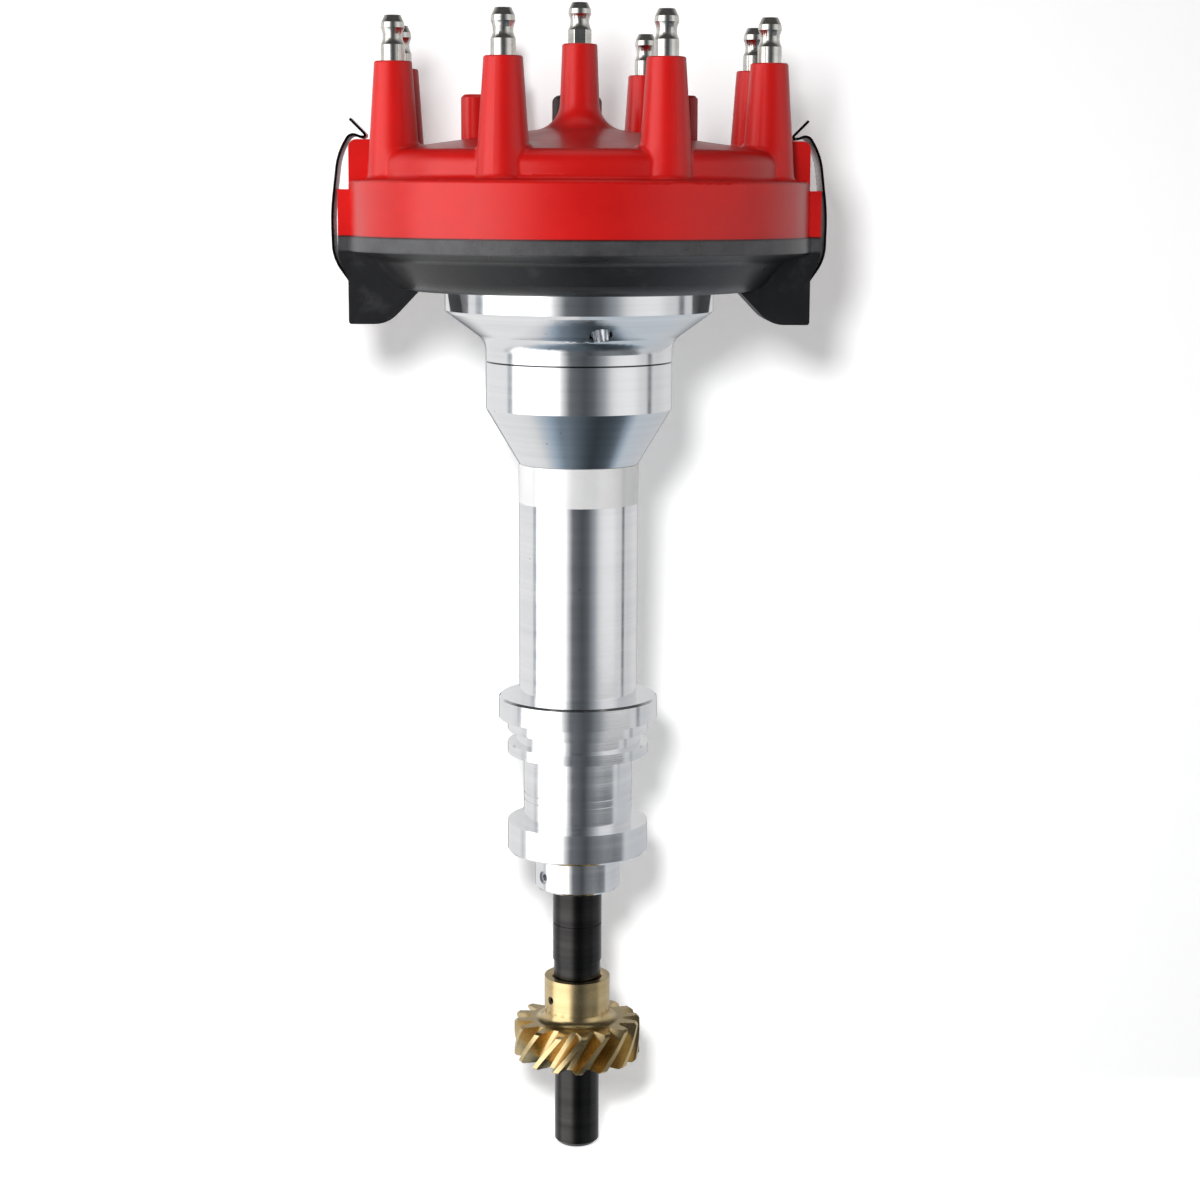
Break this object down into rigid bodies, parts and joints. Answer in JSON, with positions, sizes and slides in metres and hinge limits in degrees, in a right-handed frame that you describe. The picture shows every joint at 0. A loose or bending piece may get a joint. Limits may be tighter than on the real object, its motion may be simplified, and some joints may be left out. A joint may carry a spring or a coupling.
{
  "type": "ignition distributor",
  "caption": "Engine ignition distributor: clip-on moulded cap with plug towers, turned housing, helical drive gear, and a shaft with centrifugal advance, magnetic pickup and rotor inside.",
  "frame": {"origin": "on the shaft axis, in the seat face that rests on the engine block", "axes": "+Z along the shaft up to the cap; +X through the right-hand spring clip; -Y faces the picture's camera"},
  "size_m": [0.134, 0.1258, 0.3222],
  "materials": {
    "housing_metal": "turned, bright",
    "label": "blank white film",
    "dark_steel": "black oxide",
    "bronze": "sintered",
    "bearing_steel": "ground",
    "spring_steel": "drawn",
    "clip_steel": "bright spring steel",
    "zinc_steel": "zinc plated",
    "core_steel": "machined",
    "coil_plastic": "moulded",
    "magnet": "sintered",
    "rubber": "matt",
    "carbon": "carbon, matt",
    "black_plastic": "moulded, satin",
    "red_plastic": "moulded, semi-gloss",
    "rotor_plastic": "moulded",
    "terminal": "bright nickel",
    "gear_brass": "machined",
    "brass": "stamped"
  },
  "bodies": {
    "housing": {"housing": "housing_metal", "label": "label", "bushing_set_screw": "dark_steel", "lower_bushing": "bronze", "bearing_outer_race": "bearing_steel", "bearing_retaining_ring": "spring_steel", "cap_base": "black_plastic", "base_screws": "zinc_steel", "pickup_bracket": "zinc_steel", "pickup_coil": "coil_plastic", "pickup_magnet": "magnet", "pickup_pole": "core_steel", "pickup_screws": "zinc_steel", "wire_grommet": "rubber", "clip_pins": "spring_steel", "distributor_cap": "red_plastic", "plug_terminals": "terminal", "coil_terminal": "terminal", "vent_cap": "black_plastic", "button_spring": "spring_steel"},
    "carbon_button": {"carbon_button": "carbon"},
    "shaft": {"main_shaft": "dark_steel", "bearing_inner_race": "bearing_steel", "thrust_washer": "zinc_steel", "advance_cam": "core_steel", "centre_plate": "zinc_steel", "centre_screw": "zinc_steel", "stop_bushing": "bronze", "drive_gear": "gear_brass", "gear_roll_pin": "spring_steel"},
    "bearing_cage": {"bearing_balls": "bearing_steel", "bearing_cage": "bronze"},
    "advance": {"advance_sleeve": "core_steel", "advance_plate": "zinc_steel", "reluctor": "core_steel", "weight_pivots": "core_steel", "weight_washers": "zinc_steel", "weight_clips": "spring_steel", "advance_springs": "spring_steel", "rotor": "rotor_plastic", "rotor_blade": "brass", "rotor_screws": "zinc_steel"},
    "weight_a": {"weight_a": "zinc_steel"},
    "weight_b": {"weight_b": "zinc_steel"},
    "clip_left": {"clip_left": "clip_steel"},
    "clip_right": {"clip_right": "clip_steel"}
  },
  "joints": [
    {"name": "shaft_spin", "type": "hinge", "parent": "housing", "child": "shaft", "pos_m": [0, 0, 0], "axis": [0, 0, 1], "continuous": true},
    {"name": "cage_spin", "type": "hinge", "parent": "housing", "child": "bearing_cage", "pos_m": [0, 0, 0.1075], "axis": [0, 0, 1], "continuous": true},
    {"name": "advance_turn", "type": "hinge", "parent": "shaft", "child": "advance", "pos_m": [0, 0, 0.1314], "axis": [0, 0, 1], "range_deg": [0, 12.5], "stiffness_Nm_per_rad": 1, "springref_deg": -5.73, "deforming": ["advance_springs"]},
    {"name": "weight_a_swing", "type": "hinge", "parent": "advance", "child": "weight_a", "pos_m": [0.024, 0, 0.1352], "axis": [0, 0, -1], "range_deg": [0, 22.5]},
    {"name": "weight_b_swing", "type": "hinge", "parent": "advance", "child": "weight_b", "pos_m": [-0.024, 0, 0.1352], "axis": [0, 0, -1], "range_deg": [0, 22.5]},
    {"name": "button_slide", "type": "slide", "parent": "housing", "child": "carbon_button", "axis": [0, 0, 1], "range_m": [0, 0.002], "stiffness_N_per_m": 100, "springref_m": -0.003, "deforming": ["button_spring"]},
    {"name": "clip_right_swing", "type": "hinge", "parent": "housing", "child": "clip_right", "pos_m": [0.06035, 0, 0.122], "axis": [0, 1, 0], "range_deg": [0, 70]},
    {"name": "clip_left_swing", "type": "hinge", "parent": "housing", "child": "clip_left", "pos_m": [-0.06035, 0, 0.122], "axis": [0, -1, 0], "range_deg": [0, 70]}
  ],
  "couplings": [
    {"joint": "cage_spin", "follows": "shaft_spin", "ratio": 0.3987},
    {"joint": "weight_a_swing", "follows": "advance_turn", "ratio": 1.8},
    {"joint": "weight_b_swing", "follows": "advance_turn", "ratio": 1.8}
  ]
}
